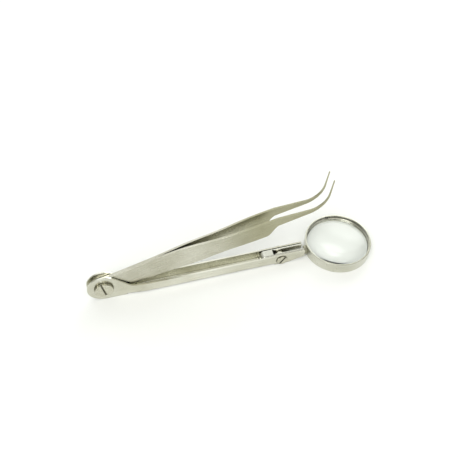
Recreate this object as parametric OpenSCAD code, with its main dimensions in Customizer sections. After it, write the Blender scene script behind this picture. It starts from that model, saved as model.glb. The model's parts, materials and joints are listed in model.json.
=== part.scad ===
// Curved precision tongs with a folding magnifier.
// X runs along the magnifier arm from the pivot to the lens, Y along the pivot
// screw (front is -Y), Z up. The arm and the lens ring lie on Z = 0, and the
// origin is the middle of the footprint. Pieces are drawn with the pivot at X = 0.

/* [Tongs] */
// Thickness of each leg
leg_t = 0.9; // [0.6:0.05:1.4]
// Radius of the round tail end
tail_r = 4.9; // [4:0.1:6]
// Distance from the pivot to where the welded tails end and the legs flex
flex_x = 28; // [20:1:32]
// Distance from the pivot to the widest part of the legs
swell_x = 40; // [35:1:45]
// Height of the upper edge at the widest part
swell_up = 5.8; // [4.5:0.1:6.5]
// Depth of the lower edge at the widest part
swell_low = 6.0; // [4.5:0.1:6.5]
// Distance from the pivot to the grip
grip_x = 61; // [54:1:68]
// Half width of the grip
grip_half = 4.5; // [3.5:0.1:5]
// Distance from the pivot to the shoulder where the grip narrows to the blade
shoulder_x = 77; // [72:1:90]
// Length over which the lower edge steps up at the shoulder
shoulder_len = 7; // [5:0.5:10]
// Width of the blade where it leaves the shoulder
blade_w = 4.5; // [3:0.1:5]
// Height of the blade's middle above the leg's centre line
blade_up = 2.1; // [0:0.1:3]
// Length of the straight part of the blade
blade_len = 14.5; // [10:0.5:20]
// Downward slope of the straight part of the blade
blade_dip = 5; // [0:1:8]
// Width of the blade where the tip's curve starts
neck_w = 2.2; // [2:0.1:4]
// Radius of the tip's curve, on its middle line
bend_r = 10.4; // [7:0.1:14]
// Angle of the points from the legs' centre line
tip_angle = 68; // [30:1:75]
// Length of the straight points past the curve
tip_len = 7.8; // [4:0.1:12]
// Width of the points at their ends
tip_w = 0.45; // [0.3:0.05:0.8]
// Thickness of the points at their ends
tip_t = 0.4; // [0.3:0.05:0.8]
// Gap between the grips at rest
grip_gap = 5.3; // [4.4:0.1:8]
// How soon the gap opens past the weld, as the slope of its easing
gap_start = 0.5; // [0.3:0.05:1]
// Angle between the tongs and the magnifier arm
swing_rest = 15.1; // [8:0.1:40]

/* [Pivot] */
// Diameter of the pivot screw's shank
pivot_d = 4; // [3:0.1:5]
// Diameter of the pivot screw's head
pivot_head_d = 8.6; // [7:0.1:9.6]
// Height of the pivot screw's head
pivot_head_h = 1.4; // [1:0.1:2.5]
// Width of the screwdriver slots
slot_w = 0.9; // [0.6:0.1:1.2]
// Thickness of each washer between an ear and the tails
ear_washer_t = 0.22; // [0.15:0.01:0.5]
// Outer diameter of the ear washers
ear_washer_d = 8; // [6:0.1:9.6]
// Thickness of the split lock washer
lock_washer_t = 0.8; // [0.5:0.1:1.2]
// Outer diameter of the split lock washer
lock_washer_d = 7; // [6:0.1:8]
// Width across the pivot nut's flats
pivot_nut_af = 7; // [6:0.1:8]
// Thickness of the pivot nut
pivot_nut_h = 2.2; // [1.6:0.1:3.2]

/* [Magnifier arm] */
// Thickness of the arm's sheet metal
sheet_t = 0.75; // [0.5:0.05:1]
// Outer width of the channel
channel_w = 6.1; // [6:0.1:8]
// Height of the channel
channel_h = 5.9; // [5:0.1:7]
// Radius of the ears around the pivot
ear_r = 7.5; // [6.5:0.1:9]
// Radius of the hollow curve from the ears to the channel's top
ear_blend_r = 5; // [2:0.5:8]
// Where the ears start to spread to the channel's width
spread_x = 6; // [5:1:10]
// Length over which they spread
spread_len = 14; // [8:1:20]
// Length of the arm past the pivot
arm_len = 95.7; // [90:0.1:110]
// Gap between the end of the channel's floor and the stem's eye
floor_gap = 1.5; // [0.5:0.1:3]
// Height of the cheeks' tapered ends above the floor's underside
cheek_rise = 2.2; // [1:0.1:3]

/* [Saddle and tilt joint] */
// Thickness of the saddle's sheet metal
saddle_t = 0.6; // [0.4:0.05:0.8]
// Length of the saddle
saddle_len = 21.3; // [19:0.1:24]
// Radius of the saddle's rounded inner end
saddle_round = 2.2; // [1:0.1:3]
// Width of the slot in the saddle's top
stem_slot_w = 2.2; // [2:0.1:2.6]
// Length of the slot in the saddle's top
stem_slot_len = 14.8; // [13.5:0.1:16]
// Length of the cross cut that ends the slot
cross_cut_len = 3; // [2.4:0.1:3.6]
// Width of the cross cut
cross_cut_w = 0.9; // [0.5:0.1:1.4]
// Distance of the tilt screw from the arm's end
tilt_back = 11.5; // [10.5:0.1:13]
// Diameter of the tilt screw's shank
tilt_d = 2; // [1.6:0.1:2.5]
// Depth of the tilt screw's axis below the middle of the channel's height
tilt_drop = 0.2; // [0:0.05:0.4]
// Height of the tilt screw's head
tilt_head_h = 0.6; // [0.4:0.1:1.5]
// Width across the tilt nut's flats
tilt_nut_af = 4; // [3.5:0.1:4.5]
// Thickness of the tilt nut
tilt_nut_h = 1.2; // [1:0.1:2]
// Outer diameter of the tilt washers
tilt_washer_d = 3.8; // [3:0.1:4]
// Thickness of the tilt washers
tilt_washer_t = 0.5; // [0.3:0.05:0.6]

/* [Lens] */
// Outer diameter of the lens ring
ring_d = 32.2; // [26:0.2:40]
// Height of the lens ring
ring_h = 5.5; // [5.4:0.1:7]
// Wall of the lens ring
ring_wall = 0.8; // [0.7:0.05:1.2]
// How far the inner ledge stands in from the ring's wall
ledge_in = 0.8; // [0.6:0.1:1.2]
// Thickness of the inner ledge
ledge_t = 0.6; // [0.4:0.1:1]
// Thickness of the lens at its rim
lens_rim_t = 1.1; // [0.8:0.1:1.6]
// Diameter of the retaining ring's wire
wire_d = 0.7; // [0.5:0.05:0.9]
// Gap in the retaining ring, as an angle
wire_gap = 9; // [4:1:20]
// Diameter of the stem that carries the ring
stem_d = 1.8; // [1.4:0.1:1.9]
// Width of the lug between the stem and the ring
lug_w = 2.8; // [2.4:0.1:5]
// Height of the lug
lug_h = 3.6; // [3:0.1:4.5]
// Distance from the arm's end to the lens ring
ring_gap = 2.05; // [1.8:0.05:4]

/* [Fits] */
// Radial clearance of a screw in its holes
fit = 0.05; // [0.02:0.01:0.08]
// Clearance between faces that slide past each other
play = 0.02; // [0.01:0.01:0.05]
// Radial clearance of the lens and of soldered or pressed pieces
seat = 0.03; // [0.01:0.01:0.06]
// How far the lens's faces stay inside the ring
lens_guard = 0.2; // [0.1:0.05:0.4]
// Clearance between the stem's eye and the saddle's top
eye_clear = 0.35; // [0.2:0.05:0.5]
// Clearance between the tilt screw's head and the table
head_clear = 0.05; // [0.02:0.01:0.2]
// Clearance between the turning lug and the arm's end
lug_clear = 0.15; // [0.1:0.05:0.4]

/* [Hidden] */
$fn = 64;
far = 200;
steel = [0.78, 0.78, 0.74];
bronze = [0.8, 0.7, 0.45];

// heights and depths that follow from the sizes above
pivot_z = ear_r;
ear_in = leg_t + play + ear_washer_t;
ear_out = ear_in + sheet_t;
wall_out = channel_w / 2;
wall_in = wall_out - sheet_t;
tilt_x = arm_len - tilt_back;
tilt_z = channel_h / 2 - tilt_drop;
tilt_head_d = 2 * (tilt_z - head_clear);
eye_d = 2 * (channel_h - saddle_t - eye_clear - tilt_z);
floor_end = tilt_x - eye_d / 2 - floor_gap;
ring_r = ring_d / 2;
ring_x = arm_len + ring_gap + ring_r;
pivot_x = (ear_r - ring_x - ring_r) / 2;
bore_r = ring_r - ring_wall;
lens_r = bore_r - seat;
rim_top = (ring_h + lens_rim_t) / 2;
rim_low = (ring_h - lens_rim_t) / 2;
lens_bulge = rim_low - lens_guard;
lens_face_r = (lens_r * lens_r + lens_bulge * lens_bulge) / (2 * lens_bulge);
// how far a screw's end stands out of its nut
screw_end = 0.4;
// milling round a screw's head
mill_depth = 0.12;
mill_teeth = 30;
// angles of the two screwdriver slots from upright
pivot_slot_turn = 8;
tilt_slot_turn = 35;
// gap in the split lock washer
split = 0.7;
// corners of the cheeks' tapered lower edge, between its high end and the floor
cheek_mid = 0.6 * cheek_rise;
cheek_mid_x = arm_len - tilt_back / 3;
cheek_foot_x = tilt_x + 0.65 * tilt_head_d;
// how far the retaining wire's middle stands in from the ring's wall
wire_in = 0.05;

// a smooth step from 0 to 1
function smooth(t) = t <= 0 ? 0 : t >= 1 ? 1 : t * t * (3 - 2 * t);
// points of an arc about c, from angle a to angle b
function arc(c, r, a, b, n) =
    [for (i = [0 : n]) c + r * [cos(a + (b - a) * i / n), sin(a + (b - a) * i / n)]];

// ---- outline of a leg, seen from the side ----
bend_turn = tip_angle + blade_dip;
bend_arc = bend_turn * PI / 180 * bend_r;
blade_total = blade_len + bend_arc + tip_len;
blade_x = shoulder_x + shoulder_len;
bend_from = [blade_x + blade_len * cos(blade_dip), blade_up - blade_len * sin(blade_dip)];
bend_at = bend_from + bend_r * [sin(blade_dip), cos(blade_dip)];
bend_to = bend_at + bend_r * [sin(tip_angle), -cos(tip_angle)];
tip_at = bend_to + tip_len * [cos(tip_angle), sin(tip_angle)];

// direction and middle of the blade at distance s from its start
function blade_dir(s) =
    s < blade_len ? -blade_dip
    : s > blade_len + bend_arc ? tip_angle
    : -blade_dip + bend_turn * (s - blade_len) / bend_arc;
function blade_mid(s) =
    s < blade_len ? [blade_x, blade_up] + s * [cos(blade_dip), -sin(blade_dip)]
    : s > blade_len + bend_arc
        ? bend_to + (s - blade_len - bend_arc) * [cos(tip_angle), sin(tip_angle)]
    : bend_at + bend_r * [sin(blade_dir(s)), -cos(blade_dir(s))];
function blade_half(s) =
    (s < blade_len ? blade_w + (neck_w - blade_w) * s / blade_len
     : tip_w + (neck_w - tip_w) * pow((blade_total - s) / (blade_total - blade_len), 2)) / 2;
function blade_edge(s, side) =
    blade_mid(s) + side * blade_half(s) * [-sin(blade_dir(s)), cos(blade_dir(s))];

// upper and lower edges from the tail to the shoulder
function upper_z(x) =
    x < swell_x ? tail_r + (swell_up - tail_r) * smooth((x - tail_r) / (swell_x - tail_r))
    : swell_up + (grip_half - swell_up) * smooth((x - swell_x) / (grip_x - swell_x));
function grip_low_z(x) =
    x < swell_x ? tail_r + (swell_low - tail_r) * smooth((x - tail_r) / (swell_x - tail_r))
    : swell_low + (grip_half - swell_low) * smooth((x - swell_x) / (grip_x - swell_x));
function lower_z(x) =
    -grip_low_z(x)
    + (blade_up - blade_w / 2 + grip_half) * smooth((x - shoulder_x) / shoulder_len);

edge_steps = 24;
shoulder_steps = 6;
blade_steps = 20;
leg_outline = concat(
    arc([0, 0], tail_r, 270, 90, 24),
    [for (i = [1 : edge_steps]) let (x = shoulder_x * i / edge_steps) [x, upper_z(x)]],
    [for (i = [0 : blade_steps]) blade_edge(blade_total * i / blade_steps, 1)],
    [for (i = [blade_steps : -1 : 0]) blade_edge(blade_total * i / blade_steps, -1)],
    [for (i = [shoulder_steps - 1 : -1 : 0])
        let (x = shoulder_x + shoulder_len * i / shoulder_steps) [x, lower_z(x)]],
    [for (i = [edge_steps - 1 : -1 : 1])
        let (x = shoulder_x * i / edge_steps) [x, lower_z(x)]]);

// ---- bow of a leg, seen from above ----
function gap_ease(t) =
    t >= 1 ? 1 : gap_start * t + (3 - 2 * gap_start) * t * t + (gap_start - 2) * t * t * t;
function inner_y(x) =
    x <= flex_x ? 0 : play + (grip_gap / 2 - play) * gap_ease((x - flex_x) / (shoulder_x - flex_x));
function thick(x) =
    x <= blade_x ? leg_t
    : leg_t + (tip_t - leg_t) * min(1, (x - blade_x) / (tip_at[0] - blade_x));
bow_steps = 28;
bow_end = tip_at[0] + tip_w;
bow_x = [for (i = [0 : bow_steps]) flex_x + (bow_end - flex_x) * i / bow_steps];
leg_bow = concat(
    [for (x = bow_x) [x, inner_y(x)]],
    [for (i = [bow_steps : -1 : 0]) [bow_x[i], inner_y(bow_x[i]) + thick(bow_x[i])]]);

// stands a flat outline in the XZ plane up as a slab between y0 and y1
module upright(y0, y1) {
    translate([0, y1, 0]) rotate([90, 0, 0]) linear_extrude(y1 - y0) children();
}
// a bar or hole along Y between y0 and y1
module along_y(d, y0, y1) {
    translate([0, y0, 0]) rotate([-90, 0, 0]) cylinder(d = d, h = y1 - y0);
}
// places drawn with the pivot at X = 0, and from there the tongs' own frame
module on_arm() { translate([pivot_x, 0, 0]) children(); }
module at_pivot() { on_arm() translate([0, 0, pivot_z]) children(); }
module at_tilt() { on_arm() translate([tilt_x, 0, tilt_z]) children(); }
module at_lens() { on_arm() translate([ring_x, 0, 0]) children(); }
module on_tongs() { at_pivot() rotate([0, -swing_rest, 0]) children(); }

// spring leg: the outline bowed outwards past the weld
module leg(side) {
    on_tongs() mirror([0, side < 0 ? 1 : 0, 0])
        intersection() {
            upright(0, grip_gap + leg_t) polygon(leg_outline);
            difference() {
                translate([0, 0, -far / 2]) linear_extrude(far) polygon(leg_bow);
                translate([flex_x - 1, -1, -far / 2]) cube([1 + play, leg_t + 3, far]);
            }
        }
}
module front_leg() { color(steel) leg(-1); }
module rear_leg() { color(steel) leg(1); }

// tail of a leg: the flat end that is spot-welded to its twin and drilled
module tail(side) {
    on_tongs() mirror([0, side < 0 ? 1 : 0, 0])
        difference() {
            intersection() {
                upright(0, leg_t) polygon(leg_outline);
                translate([-tail_r - 1, -1, -far / 2]) cube([flex_x + tail_r + 1, leg_t + 2, far]);
            }
            along_y(pivot_d + 2 * fit, -1, leg_t + 1);
        }
}
module front_tail() { color(steel) tail(-1); }
module rear_tail() { color(steel) tail(1); }

// ---- magnifier arm ----
// side view of an ear and the wall behind it; the edge leaves the ear at this slope
blend_turn = 45;
ear_slope = [ear_r * cos(blend_turn), pivot_z + ear_r * sin(blend_turn)];
slope_foot = ear_slope[0] + ear_slope[1] - channel_h;
blend_at = [slope_foot + ear_blend_r * tan(blend_turn / 2), channel_h + ear_blend_r];
arm_side = concat(
    arc([0, pivot_z], ear_r, 270, blend_turn, 36),
    arc(blend_at, ear_blend_r, 180 + blend_turn, 270, 8),
    [[arm_len, channel_h], [arm_len, cheek_rise],
     [cheek_mid_x, cheek_mid], [cheek_foot_x, 0]]);

// top view of the spread from the ears to the channel
function spread_y(x) = ear_out + (wall_out - ear_out) * smooth((x - spread_x) / spread_len);
spread_steps = 14;
spread_xs = concat([-ear_r - 1],
    [for (i = [0 : spread_steps]) spread_x + spread_len * i / spread_steps], [arm_len + 1]);
spread_n = len(spread_xs) - 1;
wall_top = concat(
    [for (x = spread_xs) [x, spread_y(x)]],
    [for (i = [spread_n : -1 : 0]) [spread_xs[i], spread_y(spread_xs[i]) - sheet_t]]);
floor_from = ear_r + 2;
floor_xs = concat([floor_from],
    [for (i = [0 : spread_steps]) let (x = spread_x + spread_len * i / spread_steps)
        if (x > floor_from) x], [floor_end]);
floor_top = concat(
    [for (x = floor_xs) [x, spread_y(x) - sheet_t / 2]],
    [for (i = [len(floor_xs) - 1 : -1 : 0]) [floor_xs[i], sheet_t / 2 - spread_y(floor_xs[i])]]);

module arm_wall() {
    intersection() {
        upright(0, wall_out + 1) polygon(arm_side);
        translate([0, 0, -1]) linear_extrude(2 * ear_r + 2) polygon(wall_top);
    }
}
module magnifier_arm() {
    color([0.75, 0.75, 0.66]) on_arm() difference() {
        union() {
            arm_wall();
            mirror([0, 1, 0]) arm_wall();
            linear_extrude(sheet_t) polygon(floor_top);
        }
        translate([0, 0, pivot_z]) along_y(pivot_d + 2 * fit, -ear_out - 1, ear_out + 1);
        translate([tilt_x, 0, tilt_z]) along_y(tilt_d + 2 * fit, -wall_out - 1, wall_out + 1);
    }
}

// ---- pivot hardware ----
// round head with a milled edge
module milled(d, h) {
    linear_extrude(h) polygon([for (i = [0 : 2 * mill_teeth - 1])
        let (a = 180 * i / mill_teeth) (d / 2 - (i % 2) * mill_depth) * [cos(a), sin(a)]]);
}
// screw along +Y with its head at the front, seated on y = face
module screw(d, head_d, head_h, face, length, slot_turn) {
    difference() {
        union() {
            along_y(d, face - head_h / 2, face + length);
            translate([0, face, 0]) rotate([90, 0, 0]) milled(head_d, head_h);
        }
        translate([0, face - head_h, 0]) rotate([0, slot_turn, 0])
            translate([-slot_w / 2, -1, -head_d]) cube([slot_w, 1 + head_h / 2, 2 * head_d]);
    }
}
module ring_y(d, bore, y0, y1) {
    difference() {
        along_y(d, y0, y1);
        along_y(bore, y0 - 1, y1 + 1);
    }
}
module hex_nut(af, bore, y0, y1) {
    difference() {
        translate([0, y0, 0]) rotate([-90, 0, 0]) cylinder(d = af / cos(30), h = y1 - y0, $fn = 6);
        along_y(bore, y0 - 1, y1 + 1);
    }
}
module pivot_screw() {
    color([0.72, 0.72, 0.66]) at_pivot()
        screw(pivot_d, pivot_head_d, pivot_head_h, -ear_out,
              2 * ear_out + lock_washer_t + pivot_nut_h + screw_end, pivot_slot_turn);
}
module front_ear_washer() {
    color(bronze) at_pivot() ring_y(ear_washer_d, pivot_d + 2 * fit, -ear_in, -leg_t - play);
}
module rear_ear_washer() {
    color(bronze) at_pivot() ring_y(ear_washer_d, pivot_d + 2 * fit, leg_t + play, ear_in);
}
module lock_washer() {
    color([0.55, 0.55, 0.52]) at_pivot() difference() {
        ring_y(lock_washer_d, pivot_d + 2 * fit, ear_out, ear_out + lock_washer_t);
        translate([-split / 2, ear_out - 1, 0])
            cube([split, lock_washer_t + 2, lock_washer_d]);
    }
}
module pivot_nut() {
    nut_y = ear_out + lock_washer_t;
    color([0.72, 0.72, 0.66]) at_pivot()
        hex_nut(pivot_nut_af, pivot_d + 2 * seat, nut_y, nut_y + pivot_nut_h);
}

// ---- saddle and tilt hardware ----
saddle_x = arm_len - saddle_len;
saddle_out = wall_in - play;
saddle_in = saddle_out - saddle_t;
saddle_low = sheet_t + play;
saddle_side = concat(
    [[saddle_x, saddle_low]],
    arc([saddle_x + saddle_round, channel_h - saddle_round], saddle_round, 180, 90, 10),
    [[arm_len, channel_h], [arm_len, cheek_rise],
     [cheek_mid_x, max(cheek_mid, saddle_low)], [cheek_foot_x, saddle_low]]);
saddle_hollow = concat(
    [[saddle_x + saddle_t, saddle_low - 1]],
    arc([saddle_x + saddle_round, channel_h - saddle_round], saddle_round - saddle_t, 180, 90, 8),
    [[arm_len + 1, channel_h - saddle_t], [arm_len + 1, saddle_low - 1]]);
module stem_saddle() {
    slot_x = arm_len - stem_slot_len;
    color([0.85, 0.85, 0.82]) on_arm() difference() {
        upright(-saddle_out, saddle_out) polygon(saddle_side);
        upright(-saddle_in, saddle_in) polygon(saddle_hollow);
        translate([slot_x, -stem_slot_w / 2, channel_h - 2 * saddle_t])
            cube([stem_slot_len + 1, stem_slot_w, 3 * saddle_t]);
        translate([slot_x - cross_cut_w / 2, -cross_cut_len / 2, channel_h - 2 * saddle_t])
            cube([cross_cut_w, cross_cut_len, 3 * saddle_t]);
        translate([tilt_x, 0, tilt_z]) along_y(tilt_d + 2 * fit, -wall_out, wall_out);
    }
}
module tilt_screw() {
    color([0.8, 0.8, 0.76]) at_tilt()
        screw(tilt_d, tilt_head_d, tilt_head_h, -wall_out,
              2 * wall_out + tilt_nut_h + screw_end, tilt_slot_turn);
}
module front_tilt_washer() {
    color(bronze) at_tilt()
        ring_y(tilt_washer_d, tilt_d + 2 * fit, -saddle_in, tilt_washer_t - saddle_in);
}
module rear_tilt_washer() {
    color(bronze) at_tilt()
        ring_y(tilt_washer_d, tilt_d + 2 * fit, saddle_in - tilt_washer_t, saddle_in);
}
module tilt_nut() {
    color([0.72, 0.72, 0.66]) at_tilt()
        hex_nut(tilt_nut_af, tilt_d + 2 * seat, wall_out, wall_out + tilt_nut_h);
}

// ---- lens, its ring and its stem ----
// the lug starts clear of the arm's end at every tilt
lug_x = tilt_x + norm([arm_len - tilt_x, channel_h - tilt_z]) + lug_clear;
eye_half = saddle_in - tilt_washer_t - play;
module lens_stem() {
    stem_from = tilt_washer_d / 2 + play;
    color(steel) at_tilt() difference() {
        union() {
            along_y(eye_d, -eye_half, eye_half);
            translate([stem_from, 0, 0]) rotate([0, 90, 0])
                cylinder(d = stem_d, h = ring_x - ring_r - tilt_x - stem_from - 2 * seat);
        }
        along_y(tilt_d + 2 * fit, -2 * eye_half, 2 * eye_half);
    }
}
module ring_lug() {
    color([0.5, 0.5, 0.42]) on_arm() difference() {
        translate([lug_x, -lug_w / 2, tilt_z - lug_h / 2])
            cube([ring_x - ring_r - lug_x + 0.5, lug_w, lug_h]);
        translate([ring_x, 0, -1]) cylinder(r = ring_r + play, h = ring_h + 2, $fn = 180);
        translate([lug_x - 1, 0, tilt_z]) rotate([0, 90, 0])
            cylinder(d = stem_d + 2 * seat, h = 4);
    }
}
// height of a lens face at distance r from the axis, above its own rim
lens_centre = sqrt(pow(lens_face_r, 2) - lens_r * lens_r);
function face_rise(r) = sqrt(pow(lens_face_r, 2) - r * r) - lens_centre;
ledge_r = bore_r - ledge_in;
ledge_top = rim_low - face_rise(ledge_r) - play;
wire_r = bore_r - wire_in;
wire_z = rim_top + face_rise(wire_r - wire_d / 2) + wire_d / 2;
module lens_ring() {
    wire_groove = wire_d + 4 * seat;
    color([0.78, 0.78, 0.72]) at_lens()
        rotate_extrude($fn = 180) difference() {
            polygon([[bore_r, 0], [ring_r, 0], [ring_r, ring_h], [bore_r, ring_h],
                     [bore_r, ledge_top], [ledge_r, ledge_top],
                     [ledge_r, ledge_top - ledge_t], [bore_r, ledge_top - ledge_t]]);
            translate([bore_r - 1, wire_z - wire_groove / 2])
                square([1 + wire_d / 2 - wire_in + seat, wire_groove]);
        }
}
module retaining_ring() {
    color([0.6, 0.6, 0.56]) at_lens() translate([0, 0, wire_z]) rotate([0, 0, 90 + wire_gap / 2])
        rotate_extrude(angle = 360 - wire_gap, $fn = 180)
            translate([wire_r, 0]) circle(d = wire_d, $fn = 24);
}
module lens() {
    color([0.8, 0.9, 0.88]) at_lens() intersection() {
        cylinder(r = lens_r, h = 2 * ring_h, center = true, $fn = 180);
        translate([0, 0, rim_top - lens_centre]) sphere(r = lens_face_r, $fn = 200);
        translate([0, 0, rim_low + lens_centre]) sphere(r = lens_face_r, $fn = 200);
    }
}

front_leg();
rear_leg();
front_tail();
rear_tail();
magnifier_arm();
pivot_screw();
front_ear_washer();
rear_ear_washer();
lock_washer();
pivot_nut();
stem_saddle();
tilt_screw();
front_tilt_washer();
rear_tilt_washer();
tilt_nut();
lens_stem();
ring_lug();
lens_ring();
retaining_ring();
lens();
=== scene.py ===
import json
import math

import bmesh
import bpy
import numpy as np
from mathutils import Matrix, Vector


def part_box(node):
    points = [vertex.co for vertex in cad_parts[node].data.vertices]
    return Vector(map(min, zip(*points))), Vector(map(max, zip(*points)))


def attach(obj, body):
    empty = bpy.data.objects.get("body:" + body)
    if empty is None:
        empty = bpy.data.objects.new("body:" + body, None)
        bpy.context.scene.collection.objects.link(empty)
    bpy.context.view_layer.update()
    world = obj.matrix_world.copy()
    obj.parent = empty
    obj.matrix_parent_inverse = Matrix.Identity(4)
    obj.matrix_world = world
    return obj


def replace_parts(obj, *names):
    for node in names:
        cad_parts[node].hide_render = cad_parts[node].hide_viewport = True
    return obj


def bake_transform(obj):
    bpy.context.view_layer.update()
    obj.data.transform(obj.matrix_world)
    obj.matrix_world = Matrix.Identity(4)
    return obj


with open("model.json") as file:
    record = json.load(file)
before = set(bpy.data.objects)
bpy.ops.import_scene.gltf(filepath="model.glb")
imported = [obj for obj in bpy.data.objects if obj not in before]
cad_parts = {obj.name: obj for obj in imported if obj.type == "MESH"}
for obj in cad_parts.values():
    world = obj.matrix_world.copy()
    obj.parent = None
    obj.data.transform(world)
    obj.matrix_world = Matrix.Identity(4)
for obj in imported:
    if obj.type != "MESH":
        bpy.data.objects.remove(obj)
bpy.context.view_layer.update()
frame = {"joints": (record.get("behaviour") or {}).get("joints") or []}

# ---- Camera ----
# The tongs lie on a table and are seen from the front, a little from the left and from
# well above, as someone sitting at the table sees them.
mm = 0.001
azimuth, elevation = math.radians(-14.72), math.radians(49.15)
distance = 276 * mm
aim = Vector((1.825, 16.23, 10)) * mm
scene = bpy.context.scene
scene.view_settings.view_transform = "Standard"
back = Vector((math.sin(azimuth) * math.cos(elevation),
               -math.cos(azimuth) * math.cos(elevation), math.sin(elevation)))
camera = bpy.data.objects.new("camera", bpy.data.cameras.new("camera"))
camera.data.sensor_width = 36
camera.data.lens = 44.6
camera.data.clip_start = 10 * mm
camera.location = aim + distance * back
camera.rotation_euler = (-back).to_track_quat("-Z", "Y").to_euler()
scene.collection.objects.link(camera)
scene.camera = camera


# ---- Table and studio light ----
# A pale matt table in soft studio light. The room is bright low down and dim overhead, with
# a broad soft light in front, one behind and higher up, and a small strong one behind on the
# right. A soft round lamp hangs at the front left.
def feed(tree, socket, value):
    """Links an input from another node's output, or sets it to a plain value."""
    if isinstance(value, bpy.types.NodeSocket):
        tree.links.new(value, socket)
    else:
        socket.default_value = value


def node(tree, kind, inputs=None, **properties):
    """A new node in a tree, with the given properties and its inputs fed, by name or by
    place."""
    made = tree.nodes.new(kind)
    for key, value in properties.items():
        setattr(made, key, value)
    for key, value in (inputs or {}).items():
        feed(tree, made.inputs[key], value)
    return made


def surface_material(name, rough):
    """A new node material: returns it, its node tree and its Principled shader."""
    material = bpy.data.materials.new(name)
    material.use_nodes = True
    tree = material.node_tree
    shader = tree.nodes["Principled BSDF"]
    shader.inputs["Roughness"].default_value = rough
    return material, tree, shader


def mesh_object(name, vertices, faces, material):
    """A mesh object from an array of points in metres and an array of faces."""
    mesh = bpy.data.meshes.new(name)
    mesh.from_pydata(vertices, [], faces)
    mesh.materials.append(material)
    piece = bpy.data.objects.new(name, mesh)
    scene.collection.objects.link(piece)
    return piece


table_paint, tree, shader = surface_material("table_paint", 0.75)
on_table = node(tree, "ShaderNodeTexCoord").outputs["Object"]
fibre = node(tree, "ShaderNodeTexNoise", {"Vector": on_table, "Scale": 900})
fibre_bump = node(tree, "ShaderNodeBump", {"Height": fibre.outputs["Fac"], "Strength": 0.05,
                                           "Distance": 0.05 * mm})
clouding = node(tree, "ShaderNodeTexNoise", {"Vector": on_table, "Scale": 14})
paint = node(tree, "ShaderNodeValToRGB", {"Fac": clouding.outputs["Fac"]})
paint.color_ramp.elements[0].color = (0.87, 0.88, 0.87, 1)
paint.color_ramp.elements[1].color = (0.89, 0.90, 0.90, 1)
feed(tree, shader.inputs["Normal"], fibre_bump.outputs["Normal"])
feed(tree, shader.inputs["Base Color"], paint.outputs["Color"])
table_half = 1.6
table = mesh_object("table", [(-table_half, -table_half, 0), (table_half, -table_half, 0),
                              (table_half, table_half, 0), (-table_half, table_half, 0)],
                    [(0, 1, 2, 3)], table_paint)

room = bpy.data.worlds.new("room")
room.use_nodes = True
scene.world = room
tree = room.node_tree
where = node(tree, "ShaderNodeTexCoord").outputs["Generated"]
height = node(tree, "ShaderNodeSeparateXYZ", {"Vector": where})
walls = node(tree, "ShaderNodeValToRGB", {"Fac": height.outputs["Z"]})
wall_tones = walls.color_ramp.elements
wall_tones[0].position, wall_tones[0].color = 0.0, (0.80, 0.82, 0.82, 1)
wall_tones[1].position, wall_tones[1].color = 1.0, (0.08, 0.08, 0.06, 1)
for level, tone in ((25, (0.55, 0.55, 0.50, 1)), (50, (0.26, 0.25, 0.19, 1))):
    wall_tones.new(math.sin(math.radians(level))).color = tone
room_colour = walls.outputs["Color"]
# Each light: its azimuth from +Y, its height, how far from its middle it is full and where
# it ends, all in degrees, and its colour.
studio_lights = [(180, 30, 20, 85, (1.25, 1.25, 1.20, 1)), (-10, 45, 8, 36, (1.35, 1.37, 1.34, 1)),
                 (37, 24, 9, 27, (3.0, 3.1, 3.0, 1))]
for light_azimuth, light_height, full, none, tone in studio_lights:
    light_azimuth, light_height = math.radians(light_azimuth), math.radians(light_height)
    direction = (math.sin(light_azimuth) * math.cos(light_height),
                 math.cos(light_azimuth) * math.cos(light_height), math.sin(light_height))
    towards = node(tree, "ShaderNodeVectorMath", {0: where, 1: direction}, operation="DOT_PRODUCT")
    glow = node(tree, "ShaderNodeMapRange",
                {"Value": towards.outputs["Value"], "From Min": math.cos(math.radians(none)),
                 "From Max": math.cos(math.radians(full))}, interpolation_type="SMOOTHSTEP")
    lit_room = node(tree, "ShaderNodeMix",
                    {"Factor": glow.outputs["Result"], "A": room_colour, "B": tone}, data_type="RGBA")
    room_colour = lit_room.outputs["Result"]
feed(tree, tree.nodes["Background"].inputs["Color"], room_colour)

lamp = bpy.data.objects.new("lamp", bpy.data.lights.new("lamp", "AREA"))
lamp.data.shape = "DISK"
lamp.data.size = 1.2
lamp.data.energy = 20.0
lamp.data.color = (1.0, 1.0, 0.995)
lamp.location = (-1.05, -1.05, 1.85)
lamp.rotation_euler = lamp.location.to_track_quat("Z", "Y").to_euler()
scene.collection.objects.link(lamp)

# ---- Spring legs ----
# Two strips of ground stainless spring steel, spot-welded face to face at the tail and
# drilled for the pivot screw. Each strip bows away from the other past the weld, narrows
# at the shoulder to a blade, and curves up to a fine point.
joints = {joint["name"]: joint for joint in frame["joints"]}
pivot = np.array(joints["tongs_swing"]["pos_m"]) / mm
leg_axis = joints["front_squeeze"]["axis"]
swing = math.atan2(-leg_axis[0], leg_axis[2])
leg_t = 0.9
tail_r = 4.9
pivot_d = 4.0
bore_d = pivot_d + 0.1
flex_x = 28
play = 0.02
swell_x, swell_up, swell_low = 40, 5.8, 6.0
grip_x, grip_half = 61, 4.5
shoulder_x, shoulder_len = 77, 7
blade_w, blade_up, blade_len = 4.5, 2.1, 14.5
blade_dip, neck_w = math.radians(5), 2.2
bend_r, tip_angle, tip_len = 10.4, math.radians(68), 7.8
tip_w, tip_t = 0.45, 0.4
half_gap, gap_start = 5.3 / 2, 0.5
strip_from = tail_r + 1.6
leg_rows = 4
cut_round = 0.1
dull_from = swell_x + 8


def ease(t):
    """A smooth step from 0 to 1."""
    t = np.clip(t, 0, 1)
    return t * t * (3 - 2 * t)


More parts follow.
